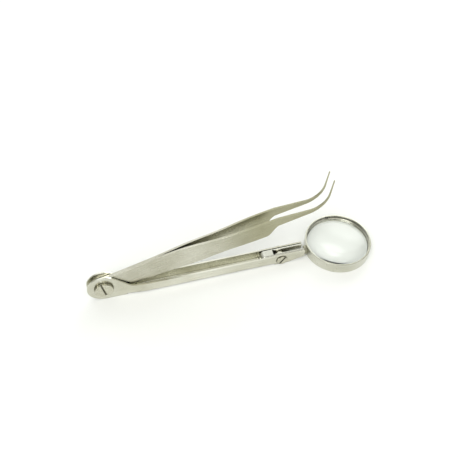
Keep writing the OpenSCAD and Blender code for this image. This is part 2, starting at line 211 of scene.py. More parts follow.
def edge_height(x, tail, swell, grip):
    """Height of a leg's edge: from the tail's radius up to the swell, then down to the
    grip, each an eased step."""
    x = np.asarray(x, float)
    return np.where(x < swell_x, tail + (swell - tail) * ease((x - tail_r) / (swell_x - tail_r)),
                    swell + (grip - swell) * ease((x - swell_x) / (grip_x - swell_x)))


blade_x = shoulder_x + shoulder_len
bend_turn = tip_angle + blade_dip
bend_arc = bend_turn * bend_r
blade_total = blade_len + bend_arc + tip_len


def blade_line(s):
    """Middle line of the blade at distance s: a straight that dips, an arc that turns it
    up and a straight to the point. Returns x, z and the direction's angle."""
    turn = np.clip((s - blade_len) / bend_arc, 0, 1) * bend_turn - blade_dip
    first = np.minimum(s, blade_len)
    last = np.maximum(s - blade_len - bend_arc, 0)
    x = (blade_x + first * math.cos(blade_dip) + bend_r * (math.sin(blade_dip) + np.sin(turn))
         + last * math.cos(tip_angle))
    z = (blade_up - first * math.sin(blade_dip) + bend_r * (math.cos(blade_dip) - np.cos(turn))
         + last * math.sin(tip_angle))
    return x, z, turn


def blade_half_width(s):
    """Half the blade's width: even taper along the straight, then a taper that falls with
    the square of what is left to the point, whose end is rounded off as a half circle."""
    width = np.where(s < blade_len, blade_w + (neck_w - blade_w) * s / blade_len,
                     tip_w + (neck_w - tip_w)
                     * ((blade_total - s) / (blade_total - blade_len)) ** 2)
    left = np.clip((blade_total - s) / (tip_w / 2), 0.06, 1)
    return width / 2 * np.sqrt(1 - (1 - left) ** 2)


def leg_stations():
    """Upper and lower edge points of the leg from where the round tail ends to the tip,
    one pair for each station: upright cuts to the shoulder, then cuts across the blade."""
    x = np.concatenate([np.linspace(strip_from, shoulder_x, 40),
                        shoulder_x + shoulder_len * np.arange(1, 6) / 6])
    s = np.concatenate([np.linspace(0, blade_total - tip_w / 2, 36),
                        blade_total - tip_w / 2 * (1 - np.sin(np.radians([30, 60, 80])))])
    mx, mz, turn = blade_line(s)
    across = np.stack([-np.sin(turn), np.cos(turn)], 1) * blade_half_width(s)[:, None]
    middle = np.stack([mx, mz], 1)
    root = middle[0] + across[0]
    top = np.where(x < shoulder_x, edge_height(x, tail_r, swell_up, grip_half),
                   grip_half + (root[1] - grip_half) * (x - shoulder_x) / (root[0] - shoulder_x))
    low = (-edge_height(x, tail_r, swell_low, grip_half)
           + (blade_up - blade_w / 2 + grip_half) * ease((x - shoulder_x) / shoulder_len))
    upper = np.concatenate([np.stack([x, top], 1), middle + across])
    lower = np.concatenate([np.stack([x, low], 1), middle - across])
    return upper, lower


def rows_between(a, b, rows):
    """A grid of points: each row is a share of the way from line a to line b."""
    share = np.linspace(0, 1, rows + 1)[None, :, None]
    return a[:, None, :] * (1 - share) + b[:, None, :] * share


def drilled(loop, centre, bore, rings):
    """A flat patch with a round hole: each point of the closed loop is joined to the
    point of the hole's edge in the same direction from its centre."""
    loop = np.concatenate([loop, loop[:1]])
    ray = loop - centre
    hole = centre + ray / np.linalg.norm(ray, axis=1, keepdims=True) * bore / 2
    return rows_between(hole, loop, rings)


def arc(centre, radius, start, end, steps):
    """Points of an arc, with its angles in degrees."""
    angle = np.radians(np.linspace(start, end, steps + 1))
    return np.array(centre) + radius * np.stack([np.cos(angle), np.sin(angle)], 1)


def skin(name, grids, material, towards=None, smooth_angle=30):
    """Grids of points in millimetres become one mesh, with points that meet merged. A
    closed skin is turned to face outwards. In an open skin each grid has a direction
    towards which it faces."""
    vertices, faces, count = [], [], 0
    for number, grid in enumerate(grids):
        columns, rows = grid.shape[:2]
        index = count + np.arange(columns * rows).reshape(columns, rows)
        quads = np.stack([index[:-1, :-1], index[1:, :-1], index[1:, 1:], index[:-1, 1:]], -1)
        if towards is not None:
            side = np.cross(grid[1:, 1:] - grid[:-1, :-1], grid[:-1, 1:] - grid[1:, :-1])
            if (side.sum((0, 1)) @ np.array(towards[number], float)) < 0:
                quads = quads[..., ::-1]
        vertices.append(grid.reshape(-1, 3))
        faces.append(quads.reshape(-1, 4))
        count += columns * rows
    vertices = np.concatenate(vertices) * mm
    piece = mesh_object(name, vertices, np.concatenate(faces), material)
    shell = bmesh.new()
    shell.from_mesh(piece.data)
    bmesh.ops.remove_doubles(shell, verts=shell.verts, dist=0.0005 * mm)
    if towards is None:
        bmesh.ops.recalc_face_normals(shell, faces=shell.faces)
        if shell.calc_volume(signed=True) < 0:
            bmesh.ops.reverse_faces(shell, faces=shell.faces)
    shell.to_mesh(piece.data)
    shell.free()
    piece.data.polygons.foreach_set("use_smooth", np.ones(len(piece.data.polygons), bool))
    piece.data.set_sharp_from_angle(angle=math.radians(smooth_angle))
    return piece


def round_edges(piece, size):
    """Rounds every edge that turns sharply, and keeps the flats shaded flat."""
    edges = piece.modifiers.new("edges", "BEVEL")
    edges.width = size * mm
    edges.segments = 3
    edges.limit_method = "ANGLE"
    edges.angle_limit = math.radians(35)
    shading = piece.modifiers.new("shading", "WEIGHTED_NORMAL")
    shading.keep_sharp = True


def sheet_metal(piece, thickness, group=""):
    """Gives a skin the thickness of its sheet, inwards, times the group's share."""
    wall = piece.modifiers.new("thickness", "SOLIDIFY")
    wall.thickness = thickness * mm
    wall.offset = -1
    wall.use_even_offset = True
    wall.vertex_group = group


def leg_bow(x):
    """How far a leg's inner face stands off the middle plane, and the leg's thickness:
    flat to the weld's end, eased out to the half gap at the shoulder; thinned from the
    shoulder to the tip."""
    t = np.clip((x - flex_x) / (shoulder_x - flex_x), 0, None)
    rise = np.where(t >= 1, 1, gap_start * t + (3 - 2 * gap_start) * t ** 2
                    + (gap_start - 2) * t ** 3)
    inner = np.where(x <= flex_x, 0.0, play + (half_gap - play) * rise)
    tip_x = blade_line(np.array([blade_total]))[0][0]
    thick = leg_t + (tip_t - leg_t) * np.clip((x - blade_x) / (tip_x - blade_x), 0, 1)
    return inner, thick


def on_tongs(flat, y):
    """Side-view points x, z about the pivot, swung up to where the tongs rest, at y."""
    x, z = flat[..., 0], flat[..., 1]
    c, s = math.cos(swing), math.sin(swing)
    return np.stack([pivot[0] + x * c - z * s, pivot[1] + y, pivot[2] + x * s + z * c], -1)


def spring_leg(name, side, material):
    """A leg as the outline's side view, drilled at the pivot, standing off the middle
    plane by the bow; the skin is its outer face, and its thickness tapers to the tip."""
    upper, lower = leg_stations()
    strip = rows_between(upper, lower, leg_rows)
    tail_top = np.stack([np.linspace(0, upper[0, 0], 6)[1:-1]] * 2, 1)
    tail_top[:, 1] = edge_height(tail_top[:, 0], tail_r, swell_up, grip_half)
    tail_low = tail_top[::-1] * [1, 0]
    tail_low[:, 1] = -edge_height(tail_low[:, 0], tail_r, swell_low, grip_half)
    loop = np.concatenate([arc((0, 0), tail_r, 270, 90, 32), tail_top, strip[0], tail_low])
    grids = []
    for flat in (drilled(loop, np.zeros(2), bore_d, 3), strip):
        inner, thick = leg_bow(flat[..., 0])
        grids.append(on_tongs(flat, side * (inner + thick)))
    piece = skin(name, grids, material, towards=[(0, side, 0)] * 2)
    place = np.zeros(len(piece.data.vertices) * 3)
    piece.data.vertices.foreach_get("co", place)
    place = place.reshape(-1, 3) / mm - pivot
    along = place[:, 0] * math.cos(swing) + place[:, 2] * math.sin(swing)
    share = leg_bow(along)[1] / leg_t
    taper = piece.vertex_groups.new(name="taper")
    for number, value in enumerate(share.tolist()):
        taper.add([number], value, "REPLACE")
    sheet_metal(piece, leg_t, "taper")
    round_edges(piece, cut_round)
    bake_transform(piece)
    return piece


def effect_group(name, inputs, outputs):
    """An empty node group with the named sockets: returns it, the values that it is given
    and the results that it gives back. Inputs are (name, socket type, default)."""
    group = bpy.data.node_groups.new(name, "ShaderNodeTree")
    for label, kind, default in inputs:
        socket = group.interface.new_socket(label, in_out="INPUT", socket_type=kind)
        if default is not None:
            socket.default_value = default
    for label, kind in outputs:
        group.interface.new_socket(label, in_out="OUTPUT", socket_type=kind)
    return (group, group.nodes.new("NodeGroupInput").outputs,
            group.nodes.new("NodeGroupOutput").inputs)


# Grain: fine parallel lines left by grinding or drawing, as noise stretched along one way.
grain, given, result = effect_group(
    "grain",
    [("Vector", "NodeSocketVector", None), ("Along", "NodeSocketFloat", 60.0),
     ("Across", "NodeSocketFloat", 3000.0), ("Colour", "NodeSocketColor", (0.7, 0.7, 0.65, 1)),
     ("Shade", "NodeSocketColor", (0.6, 0.6, 0.55, 1)), ("Smooth", "NodeSocketFloat", 0.2),
     ("Rough", "NodeSocketFloat", 0.35)],
    [("Colour", "NodeSocketColor"), ("Roughness", "NodeSocketFloat"),
     ("Height", "NodeSocketFloat")])
stretch = node(grain, "ShaderNodeCombineXYZ",
               {"X": given["Along"], "Y": given["Across"], "Z": given["Across"]})
scaled = node(grain, "ShaderNodeVectorMath", {0: given["Vector"], 1: stretch.outputs["Vector"]},
              operation="MULTIPLY")
lines = node(grain, "ShaderNodeTexNoise",
             {"Vector": scaled.outputs["Vector"], "Scale": 1.0, "Detail": 3.0})
line_depth = node(grain, "ShaderNodeMapRange",
                  {"Value": lines.outputs["Fac"], "From Min": 0.3, "From Max": 0.7})
shaded = node(grain, "ShaderNodeMix",
              {"Factor": line_depth.outputs["Result"], "A": given["Colour"], "B": given["Shade"]},
              data_type="RGBA")
gloss = node(grain, "ShaderNodeMapRange",
             {"Value": line_depth.outputs["Result"], "To Min": given["Smooth"],
              "To Max": given["Rough"]})
feed(grain, result["Colour"], shaded.outputs["Result"])
feed(grain, result["Roughness"], gloss.outputs["Result"])
feed(grain, result["Height"], line_depth.outputs["Result"])

# Handling and painted shade: cloudy finger marks that dull the metal in patches a few
# millimetres across, a slow drift of its tone over a few centimetres, edges rubbed brighter
# by wear, and painted shade, a near-black olive mixed in where ambient occlusion finds corners and
# gaps.
handling_and_shade, given, result = effect_group(
    "handling_and_shade",
    [("Vector", "NodeSocketVector", None), ("Colour", "NodeSocketColor", (0.7, 0.7, 0.65, 1)),
     ("Roughness", "NodeSocketFloat", 0.3), ("Cloud", "NodeSocketFloat", 0.08),
     ("Worn Colour", "NodeSocketColor", (0.9, 0.9, 0.86, 1)), ("Wear", "NodeSocketFloat", 0.5),
     ("Drift", "NodeSocketFloat", 0.6), ("Painted Shade", "NodeSocketFloat", 0.8)],
    [("Colour", "NodeSocketColor"), ("Roughness", "NodeSocketFloat")])
marks = node(handling_and_shade, "ShaderNodeTexNoise",
             {"Vector": given["Vector"], "Scale": 260.0, "Detail": 4.0, "Distortion": 0.6})
patches = node(handling_and_shade, "ShaderNodeMapRange",
               {"Value": marks.outputs["Fac"], "From Min": 0.42, "From Max": 0.68})
dulled = node(handling_and_shade, "ShaderNodeMath",
              {0: patches.outputs["Result"], 1: given["Cloud"], 2: given["Roughness"]},
              operation="MULTIPLY_ADD")
drift = node(handling_and_shade, "ShaderNodeTexNoise",
             {"Vector": given["Vector"], "Scale": 55.0, "Detail": 2.0})
drifted = node(handling_and_shade, "ShaderNodeMapRange",
               {"Value": drift.outputs["Fac"], "From Min": 0.38, "From Max": 0.62,
                "To Max": given["Drift"]})
uneven = node(handling_and_shade, "ShaderNodeMix",
              {"Factor": drifted.outputs["Result"], "A": given["Colour"],
               "B": (0.70, 0.69, 0.62, 1)}, data_type="RGBA", blend_type="MULTIPLY")
rounded = node(handling_and_shade, "ShaderNodeBevel", {"Radius": 0.12 * mm}, samples=4)
surface = node(handling_and_shade, "ShaderNodeNewGeometry")
flatness = node(handling_and_shade, "ShaderNodeVectorMath",
                {0: rounded.outputs["Normal"], 1: surface.outputs["Normal"]},
                operation="DOT_PRODUCT")
edges = node(handling_and_shade, "ShaderNodeMapRange",
             {"Value": flatness.outputs["Value"], "From Min": 1.0, "From Max": 0.93})
worn = node(handling_and_shade, "ShaderNodeMath", {0: edges.outputs["Result"], 1: given["Wear"]},
            operation="MULTIPLY")
rubbed = node(handling_and_shade, "ShaderNodeMix",
              {"Factor": worn.outputs["Value"], "A": uneven.outputs["Result"],
               "B": given["Worn Colour"]}, data_type="RGBA")
# Painted shade: where ambient occlusion finds corners and narrow gaps, the colour is mixed towards a
# near-black olive.
openness = node(handling_and_shade, "ShaderNodeAmbientOcclusion", {"Distance": 0.8 * mm}, samples=6)
corners = node(handling_and_shade, "ShaderNodeMapRange",
               {"Value": openness.outputs["AO"], "From Min": 0.8, "From Max": 0.42,
                "To Max": given["Painted Shade"]})
shaded_corners = node(handling_and_shade, "ShaderNodeMix",
             {"Factor": corners.outputs["Result"], "A": rubbed.outputs["Result"],
              "B": (0.07, 0.065, 0.04, 1)}, data_type="RGBA")
feed(handling_and_shade, result["Colour"], shaded_corners.outputs["Result"])
feed(handling_and_shade, result["Roughness"], dulled.outputs["Value"])


def metal(name, colour, shade, smooth, rough, along=60, across=3000, turned=(0, 0, 0),
          origin=(0, 0, 0), depth=0.003, cloud=0.06, wear=0.5, drift=0.5, grime=0.8):
    """A bare or plated metal: grain on Object coordinates moved to origin and turned to
    the way the piece was worked, then finger marks, tone drift, edge wear and painted shade
    in the corners over it, and the grain as bump."""
    material, tree, shader = surface_material(name, rough)
    shader.inputs["Metallic"].default_value = 1
    place = node(tree, "ShaderNodeTexCoord")
    mapping = node(tree, "ShaderNodeMapping",
                   {"Vector": place.outputs["Object"], "Location": origin, "Rotation": turned},
                   vector_type="TEXTURE")
    worked = node(tree, "ShaderNodeGroup",
                  {"Vector": mapping.outputs["Vector"], "Along": along, "Across": across,
                   "Colour": (*colour, 1), "Shade": (*shade, 1), "Smooth": smooth, "Rough": rough},
                  node_tree=grain)
    handled = node(tree, "ShaderNodeGroup",
                   {"Vector": mapping.outputs["Vector"], "Colour": worked.outputs["Colour"],
                    "Roughness": worked.outputs["Roughness"], "Cloud": cloud, "Wear": wear,
                    "Drift": drift, "Painted Shade": grime}, node_tree=handling_and_shade)
    bump = node(tree, "ShaderNodeBump", {"Height": worked.outputs["Height"], "Strength": 0.6,
                                         "Distance": depth * mm})
    feed(tree, shader.inputs["Base Color"], handled.outputs["Colour"])
    feed(tree, shader.inputs["Roughness"], handled.outputs["Roughness"])
    feed(tree, shader.inputs["Normal"], bump.outputs["Normal"])
    return material


leg_steel = metal("leg_steel", (0.66, 0.65, 0.57), (0.56, 0.55, 0.46), 0.22, 0.34,
                  along=90, across=2600, turned=(0, -swing, 0), origin=tuple(pivot * mm))
# The steel is darker and more olive towards the blade.
tree = leg_steel.node_tree
steel_colour = tree.nodes["Principled BSDF"].inputs["Base Color"]
along_leg = node(tree, "ShaderNodeSeparateXYZ", {"Vector": tree.nodes["Mapping"].outputs["Vector"]})
toward_blade = node(tree, "ShaderNodeMapRange",
                    {"Value": along_leg.outputs["X"], "From Min": dull_from * mm,
                     "From Max": shoulder_x * mm}, interpolation_type="SMOOTHSTEP")
dull = node(tree, "ShaderNodeMix",
            {"Factor": toward_blade.outputs["Result"], "A": steel_colour.links[0].from_socket,
             "B": (0.63, 0.62, 0.50, 1)}, data_type="RGBA", blend_type="MULTIPLY")
feed(tree, steel_colour, dull.outputs["Result"])
front_spring = spring_leg("front_leg_spring", -1, leg_steel)
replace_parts(front_spring, "front_tail", "front_leg")
rear_spring = spring_leg("rear_leg_spring", 1, leg_steel)
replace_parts(rear_spring, "rear_tail", "rear_leg")

# ---- Magnifier arm ----
# A channel folded from bright plated sheet steel. Its walls run on past the floor at both
# ends: as two round ears around the tongs' tail, and as two cheeks around the saddle.
tilt = np.array(joints["lens_tilt"]["pos_m"]) / mm
arm_high = np.array(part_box("magnifier_arm")[1]) / mm
arm_end = arm_high[0]
sheet_t = 0.75
channel_h = 5.9
wall_out = arm_high[1]
ear_r = pivot[2]
ear_washer_t = 0.22
ear_out = leg_t + play + ear_washer_t + sheet_t
ear_blend_r = 5.0
spread_from, spread_len = 6, 14
spread_to = pivot[0] + spread_from + spread_len
fold_r = 1.3
floor_past_ear, floor_short = 2, 3.7
floor_from = pivot[0] + ear_r + floor_past_ear
floor_to = tilt[0] - floor_short
relief = 0.5
cheek_foot, cheek_rise = tilt[0] + 3.5, 2.2
plate_half = 2.4
tilt_bore = 2.1


def wall_y(x):
    """Distance of the channel's outer face from its middle plane: close at the ears, and
    eased out to the channel's width."""
    return ear_out + (wall_out - ear_out) * ease((x - pivot[0] - spread_from) / spread_len)


def top_edge(x):
    """Height of the arm's upper edge behind the ear: a 45 degree slope down from the ear,
    a hollow arc, and the level edge of the channel."""
    slope_x = pivot[0] + ear_r * math.cos(math.pi / 4)
    slope_z = pivot[2] + ear_r * math.sin(math.pi / 4)
    hollow_x = slope_x + slope_z - channel_h + ear_blend_r * math.tan(math.pi / 8)
    hollow_from = hollow_x - ear_blend_r * math.sin(math.pi / 4)
    sunk = np.sqrt(np.maximum(ear_blend_r ** 2 - (x - hollow_x) ** 2, 0))
    hollow = channel_h + ear_blend_r - sunk
    return np.where(x < hollow_from, slope_z - (x - slope_x),
                    np.where(x < hollow_x, hollow, channel_h))


def cheek_edge(x):
    """Height of the cheeks' lower edge: level, then tapering up to the arm's end."""
    middle = arm_end - (arm_end - tilt[0]) / 3
    return np.interp(x, [cheek_foot, middle, arm_end], [0, 0.6 * cheek_rise, cheek_rise])


def wall_column(x):
    """Points of the wall's outer face at each x, from its upper edge down, y as distance
    from the middle plane: straight down to the fold, then round the fold where there is
    a floor, or straight on down where there is none."""
    low = cheek_edge(x)
    fold_top = np.maximum(low, 0) + fold_r
    down = rows_between(top_edge(x)[:, None], fold_top[:, None], 4)[..., 0]
    turn = np.linspace(0, math.pi / 2, 6)[1:]
    has_floor = ((x > floor_from + relief / 2) & (x < floor_to + relief / 2))[:, None]
    fold_z = np.where(has_floor, fold_r - fold_r * np.sin(turn),
                      fold_top[:, None] - fold_r * turn / turn[-1])
    fold_y = np.where(has_floor, fold_r * np.cos(turn) - fold_r, 0.0)
    z = np.concatenate([down, fold_z], 1)
    y = np.concatenate([down * 0, fold_y], 1) + wall_y(x)[:, None]
    return np.stack([np.repeat(x[:, None], z.shape[1], 1), y, z], -1)


def mirrored(grid, side):
    """A grid drawn at positive y, put on the given side."""
    return grid * [1, side, 1]


plate_x = tilt[0] + np.array([-plate_half, plate_half])
wall_x = np.concatenate([[floor_from], np.linspace(floor_from + relief, spread_to + 1, 22),
                         np.linspace(spread_to + 2, floor_to, 14)])
cheek_x = np.concatenate([[floor_to, floor_to + relief], plate_x[:1]])
end_x = np.concatenate([plate_x[1:], [cheek_foot],
                        np.linspace(cheek_foot + 0.5, arm_end, 6)])
wall = wall_column(wall_x)
cheek = wall_column(cheek_x)
end = wall_column(end_x)
ear_arc = arc((pivot[0], pivot[2]), ear_r, 270, 45, 56)
slope = np.linspace(ear_arc[-1, 0], floor_from, 5)[1:-1]
foot = np.linspace(floor_from, pivot[0], 6)[1:-1]
ear_loop = np.concatenate([ear_arc, np.stack([slope, top_edge(slope)], 1),
                           wall[0][:, ::2], np.stack([foot, foot * 0], 1)])
ear = drilled(ear_loop, pivot[::2], bore_d, 5)
ear = np.stack([ear[..., 0], wall_y(ear[..., 0]), ear[..., 1]], -1)
plate_top = np.linspace(*plate_x, 7)[1:-1]
plate_loop = np.concatenate([
    cheek[-1][::-1, ::2], np.stack([plate_top, top_edge(plate_top)], 1),
    end[0][:, ::2], np.stack([plate_top[::-1], cheek_edge(plate_top[::-1])], 1)])
plate = drilled(plate_loop, tilt[::2], tilt_bore, 2)
plate = np.stack([plate[..., 0], wall_y(plate[..., 0]), plate[..., 1]], -1)
arm_grids, arm_faces = [], []
for side in (-1, 1):
    for grid in (ear, wall, cheek, plate, end):
        arm_grids.append(mirrored(grid, side))
        arm_faces.append((0, side, 0))
floor_edge = wall[1:, -1]
arm_grids.append(rows_between(mirrored(floor_edge, -1), floor_edge, 4))
arm_faces.append((0, 0, -1))
plate_nickel = metal("plate_nickel", (0.76, 0.76, 0.68), (0.70, 0.69, 0.60), 0.18, 0.26,
                     along=60, across=1300, depth=0.0012, cloud=0.05, drift=0.6)
channel = skin("magnifier_channel", arm_grids, plate_nickel, towards=arm_faces)
sheet_metal(channel, sheet_t)
round_edges(channel, cut_round)
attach(channel, "arm")
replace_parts(channel, "magnifier_arm")

# ---- Pivot screw, washers and nut ----
# A turned and plated screw with a milled rim goes through the front ear, the tails and the
# rear ear. A thin bronze washer on each side of the tails lets them swing, and a split
# lock washer and a hexagon nut hold the screw at the back.
pivot_head_d, pivot_head_h = 8.6, 1.4
pivot_pitch, pivot_slot_turn = 0.7, -9
mill_teeth, mill_depth, steps_per_tooth = 30, 0.14, 8
head_crown, head_edge, head_round = 0.06, 0.12, 0.08
rim_in, rim_fall, under_head = 0.25, 0.2, 0.2
screw_chamfer, thread_share = 0.3, 0.3
slot_w = 0.9
ear_washer_d, washer_round = 8.0, 0.06
lock_r, lock_half, lock_t, lock_gap, lock_round = 2.78, 0.7, 0.8, 0.7, 0.1
pivot_nut_af, pivot_nut_h = 7.0, 2.2
nut_face_share, nut_sink = 0.97, 0.2
screw_out, thread_play = 0.4, 0.06


def softened(points, size, closed=False, steps=4):
    """A profile with its corners rounded: each corner is cut back by size, or by a third
    of its shorter side, and bridged by a curve that leaves along one side and arrives
    along the other."""
    points = np.asarray(points, float)
    before, after = np.roll(points, 1, 0) - points, np.roll(points, -1, 0) - points
    span = np.minimum(np.linalg.norm(before, axis=1), np.linalg.norm(after, axis=1))
    cut = np.minimum(size, span / 3)[:, None]
    start = points + before / np.linalg.norm(before, axis=1, keepdims=True) * cut
    end = points + after / np.linalg.norm(after, axis=1, keepdims=True) * cut
    t = np.linspace(0, 1, steps + 1)[None, :, None]
    curve = (start[:, None] * (1 - t) ** 2 + points[:, None] * 2 * t * (1 - t)
             + end[:, None] * t ** 2)
    if closed:
        ring = curve.reshape(-1, 2)
        return np.concatenate([ring, ring[:1]])
    return np.concatenate([points[:1], curve[1:-1].reshape(-1, 2), points[-1:]])


def turned_surface(radius, height, centre, axis):
    """Points at each angle and profile step: radius out from the axis, height along it.
    The axis runs along Y or Z through centre."""
    angle = np.linspace(0, 2 * math.pi, radius.shape[0])[:, None]
    a, b = radius * np.cos(angle), radius * np.sin(angle)
    a, b, height = np.broadcast_arrays(a, b, height)
    return np.stack({"Y": (b, height, a), "Z": (a, b, height)}[axis], -1) + centre


def turned_profile(profile, centre, axis, around=96):
    """A profile of height and radius, turned round an axis."""
    radius = np.repeat(profile[None, :, 1], around + 1, 0)
    return turned_surface(radius, profile[None, :, 0], centre, axis)


def tool_applied(piece, operation, other):
    """Leaves piece as it is after other is cut from it or joined to it, and removes other."""
    step = piece.modifiers.new("step", "BOOLEAN")
    step.operation = operation
    step.solver = "EXACT"
    step.object = other
    result = bpy.data.meshes.new_from_object(
        piece.evaluated_get(bpy.context.evaluated_depsgraph_get()))
    piece.modifiers.clear()
    piece.data = result
    bpy.data.objects.remove(other)
    result.polygons.foreach_set("use_smooth", np.ones(len(result.polygons), bool))
    result.set_sharp_from_angle(angle=math.radians(30))


def slotted_screw(name, centre, shank_d, head_d, head_h, face, length, slot_turn, thread_from,
                  pitch, material):
    """A screw turned from bar: a lightly crowned head whose rim is milled with V grooves, a
    plain shank, a rolled V thread past thread_from, whose radius falls with the distance
    from its crest, and a sawn driver slot. The rim and the slot get painted shade."""
    turns = np.arange(steps_per_tooth * mill_teeth + 1)
    groove = mill_depth * (1 - np.abs((turns / steps_per_tooth) % 1 * 2 - 1))[:, None]
    head = softened([(face - head_h - head_crown, 0), (face - head_h, head_d / 2 - rim_in),
                     (face - head_h + rim_fall, head_d / 2), (face - head_edge, head_d / 2),
                     (face, head_d / 2 - head_edge), (face, shank_d / 2),
                     (face + under_head, shank_d / 2)], head_round)
    end = face + length
    thread_y = np.linspace(thread_from, end - screw_chamfer, 60)
    shank = np.concatenate([np.stack([thread_y, thread_y * 0 + shank_d / 2], 1),
                            [(end, shank_d / 2 - screw_chamfer), (end, 0)]])
    profile = np.concatenate([head, shank])
    radius = np.repeat(profile[None, :, 1], len(turns), 0)
    near = 0.1
    radius = radius - groove * (radius > head_d / 2 - near)
    height = profile[None, :, 0]
    wave = np.abs(((height / pitch + turns[:, None] / turns[-1]) % 1) * 2 - 1)
    threaded = (height > thread_from + near) & (radius > shank_d / 2 - near)
    radius = np.where(threaded, radius - thread_share * pitch * wave, radius)
    screw = skin(name, [turned_surface(radius, height, centre, "Y")], material, smooth_angle=24)
    along = np.array([math.sin(math.radians(slot_turn)), 0, math.cos(math.radians(slot_turn))])
    across = np.array([along[2], 0, -along[0]])
    corners = [centre + u * across * slot_w / 2 + v * along * head_d
               + np.array([0, face - head_h + w, 0])
               for w in (-1, head_h / 2) for v in (-1, 1) for u in (-1, 1)]
    saw = mesh_object("saw", np.array(corners) * mm,
                      [(0, 1, 3, 2), (4, 6, 7, 5), (0, 4, 5, 1), (2, 3, 7, 6), (0, 2, 6, 4),
                       (1, 5, 7, 3)], material)
    tool_applied(screw, "DIFFERENCE", saw)
    # The faces of the milled rim and of the slot get the second material, whose dark colour is
    # painted shade.
    place = np.zeros(len(screw.data.polygons) * 3)
    screw.data.polygons.foreach_get("center", place)
    out = place.reshape(-1, 3) / mm - centre
    milled = np.hypot(out[:, 0], out[:, 2]) > head_d / 2 - mill_depth - 0.05
    sawn = (np.abs(out @ across) < slot_w / 2 + 0.02) & (out[:, 1] < face - head_h / 2 + 0.02)
    screw.data.materials.append(rim_and_slot_shade)
    screw.data.polygons.foreach_set("material_index", (milled | sawn).astype(np.int32))
    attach(screw, "arm")
    return screw


def washer(name, centre, outer_d, bore, y0, y1, material):
    """A flat ring blanked from strip, its edges softened."""
    loop = softened([(y0, bore / 2), (y1, bore / 2), (y1, outer_d / 2), (y0, outer_d / 2)],
                    washer_round, closed=True)
    ring = skin(name, [turned_profile(loop, centre, "Y")], material)
    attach(ring, "arm")
    return ring


def hexagon_nut(name, centre, flats, bore, y0, height, material):
    """A hexagon bar section, its corners turned off by a 30 degree cone at both faces,
    bored with a small countersink."""
    angle = np.linspace(0, 2 * math.pi, 193)[:, None]
    hexagon = flats / 2 / np.cos((angle + math.pi / 6) % (math.pi / 3) - math.pi / 6)
    face = flats / 2 * nut_face_share
    fall = (hexagon - face) * math.tan(math.radians(30))
    same = np.ones_like(angle)
    y1 = y0 + height
    mouth = bore / 2 + nut_sink
    rings = [(bore / 2, y0 + nut_sink), (bore / 2, y1 - nut_sink), (mouth, y1), (face, y1),
             (hexagon, y1 - fall), (hexagon, y0 + fall), (face, y0), (mouth, y0),
             (bore / 2, y0 + nut_sink)]
    radius = np.hstack([ring_radius * same for ring_radius, _ in rings])
    place = np.hstack([ring_place * same for _, ring_place in rings])
    nut = skin(name, [turned_surface(radius, place, centre, "Y")], material)
    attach(nut, "arm")
    return nut


screw_nickel = metal("screw_nickel", (0.72, 0.71, 0.62), (0.58, 0.57, 0.46), 0.18, 0.34,
                     along=900, across=900, depth=0.004, cloud=0.12, wear=0.7)
# Painted shade: a dark material for the screws' milled rims and driver slots, standing in for the
# shade that falls on them.
rim_and_slot_shade = metal("rim_and_slot_shade", (0.40, 0.39, 0.30), (0.16, 0.15, 0.10), 0.25, 0.45, along=900,
                   across=900, depth=0.004, wear=0.9)
bronze = metal("bronze", (0.72, 0.56, 0.33), (0.58, 0.43, 0.24), 0.25, 0.42, along=300,
               across=2400)
spring_steel = metal("spring_steel", (0.42, 0.42, 0.40), (0.30, 0.30, 0.28), 0.3, 0.45,
                     along=1500, across=1500)
pivot_screw = slotted_screw(
    "pivot_screw_turned", pivot, pivot_d, pivot_head_d, pivot_head_h, -ear_out,
    2 * ear_out + lock_t + pivot_nut_h + screw_out, pivot_slot_turn, ear_out + lock_t,
    pivot_pitch, screw_nickel)
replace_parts(pivot_screw, "pivot_screw")
ear_in = ear_out - sheet_t
for name, y0, y1 in (("front_ear_washer", -ear_in, -leg_t - play),
                     ("rear_ear_washer", leg_t + play, ear_in)):
    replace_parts(washer(name + "_ring", pivot, ear_washer_d, bore_d, y0, y1, bronze), name)
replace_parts(hexagon_nut("pivot_nut_hex", pivot, pivot_nut_af, pivot_d + thread_play,
                        ear_out + lock_t, pivot_nut_h, screw_nickel), "pivot_nut")


def split_ring(centre, radius, loop, gap, start, axis):
    """A section carried round an axis from one side of a gap to the other, and a cap on
    each end. The section's points are height and distance from its middle."""
    angle = start + np.linspace(gap / 2, 2 * math.pi - gap / 2, 145)[:, None]
    a, b = (radius + loop[:, 1]) * np.cos(angle), (radius + loop[:, 1]) * np.sin(angle)
    height = np.broadcast_to(loop[:, 0], a.shape)
    body = np.stack({"Y": (b, height, a), "Z": (a, b, height)}[axis], -1) + centre
    half = (len(loop) - 1) // 2
    caps = [rows_between(end[:half + 1], end[half:2 * half + 1][::-1], 4)
            for end in (body[0], body[-1])]
    return [body, *caps]


lock_loop = softened([(0, -lock_half), (lock_t, -lock_half), (lock_t, lock_half), (0, lock_half)],
                     lock_round, closed=True, steps=3)
lock_washer = skin("lock_washer_split",
                   split_ring(pivot + [0, ear_out, 0], lock_r, lock_loop, lock_gap / lock_r, 0, "Y"),
                   spring_steel)
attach(lock_washer, "arm")
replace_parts(lock_washer, "lock_washer")

